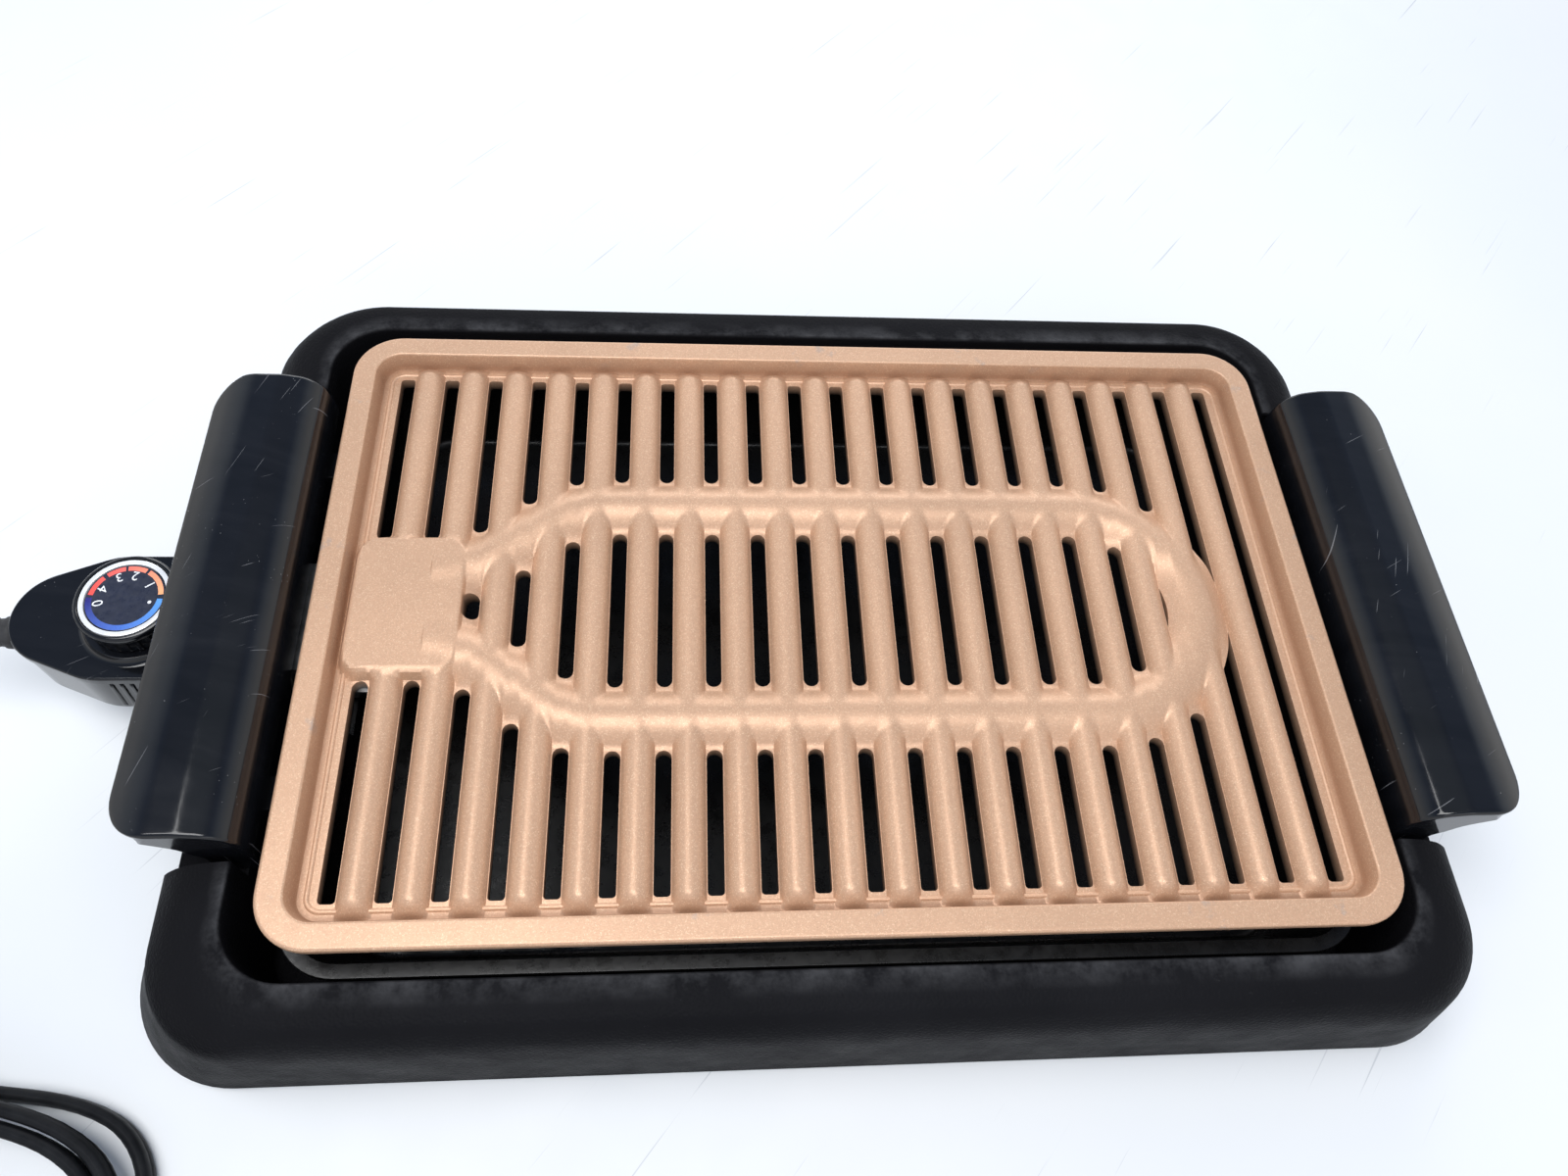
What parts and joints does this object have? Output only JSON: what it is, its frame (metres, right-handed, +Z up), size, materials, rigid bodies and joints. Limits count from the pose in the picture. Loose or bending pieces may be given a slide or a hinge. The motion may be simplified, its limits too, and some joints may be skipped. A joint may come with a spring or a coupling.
{
  "type": "electric indoor grill",
  "caption": "Table-top electric grill: slotted cast plate with a built-in element and side handles in a moulded base with a drip tray, with a plug-in temperature control on a flat mains lead.",
  "frame": {"origin": "on the table, in the middle of the grill's own box from the tip of the temperature control to the far end of the base", "axes": "+X along the grill, away from the temperature control; +Y away from the user; +Z up"},
  "size_m": [0.7421, 0.3931, 0.085],
  "materials": {
    "copper_coating": "satin copper-coloured non-stick ceramic coating with fine sparkle on cast aluminium",
    "grained_black": "moulded with a fine leather-like grain",
    "gloss_black": "high gloss",
    "enamel_black": "black enamel on pressed steel",
    "rubber_black": "matt",
    "lead_grey": "flat flexible mains lead, dark grey, matt",
    "steel": "plain zinc-plated steel",
    "sheath_steel": "darkened by heat",
    "ceramic": "unglazed",
    "brass": "plain",
    "bright_ring": "silver-white ring",
    "navy_face": "dark blue printed face"
  },
  "bodies": {
    "base": {"base_shell": "grained_black", "foot_left_front": "rubber_black", "foot_left_rear": "rubber_black", "foot_right_front": "rubber_black", "foot_right_rear": "rubber_black"},
    "tray": {"drip_tray": "enamel_black"},
    "head": {"grill_plate": "copper_coating", "heating_element": "sheath_steel", "terminal_pin_front": "steel", "terminal_pin_rear": "steel", "pin_bush_front": "ceramic", "pin_bush_rear": "ceramic", "guard_screw_front": "steel", "guard_screw_rear": "steel", "terminal_guard": "steel", "handle_left": "gloss_black", "handle_right": "gloss_black", "handle_screw_left_front": "steel", "handle_screw_left_rear": "steel", "handle_screw_right_front": "steel", "handle_screw_right_rear": "steel"},
    "control": {"control_upper_housing": "gloss_black", "control_lower_housing": "gloss_black", "control_screw_1": "steel", "control_screw_2": "steel", "control_screw_3": "steel", "contact_block": "ceramic", "contact_sleeve_front": "brass", "contact_sleeve_rear": "brass", "probe_tube": "steel", "thermostat_frame": "steel", "stack_insulator": "ceramic", "fixed_blade": "brass", "stack_washer": "ceramic", "moving_blade": "brass", "stack_rivet": "steel", "strain_relief": "rubber_black", "lead_free": "lead_grey", "lead_hank": "lead_grey", "lead_tie": "rubber_black", "plug_body": "lead_grey", "plug_blade_front": "brass", "plug_blade_rear": "brass"},
    "dial": {"dial_knob": "gloss_black", "dial_ring": "bright_ring", "dial_face": "navy_face", "dial_spindle": "steel"}
  },
  "joints": [
    {"name": "plate_lift", "type": "slide", "parent": "base", "child": "head", "axis": [0, 0, 1], "range_m": [0, 0.1]},
    {"name": "tray_lift", "type": "slide", "parent": "base", "child": "tray", "axis": [0, 0, 1], "range_m": [0, 0.045]},
    {"name": "control_pull", "type": "slide", "parent": "head", "child": "control", "axis": [-1, 0, 0], "range_m": [0, 0.065]},
    {"name": "dial_turn", "type": "hinge", "parent": "control", "child": "dial", "pos_m": [-0.22645, 0, 0.065], "axis": [0, 0, -1], "range_deg": [0, 270]}
  ],
  "couplings": [
    {"joint": "tray_lift", "follows": "plate_lift", "ratio": 0.45}
  ]
}
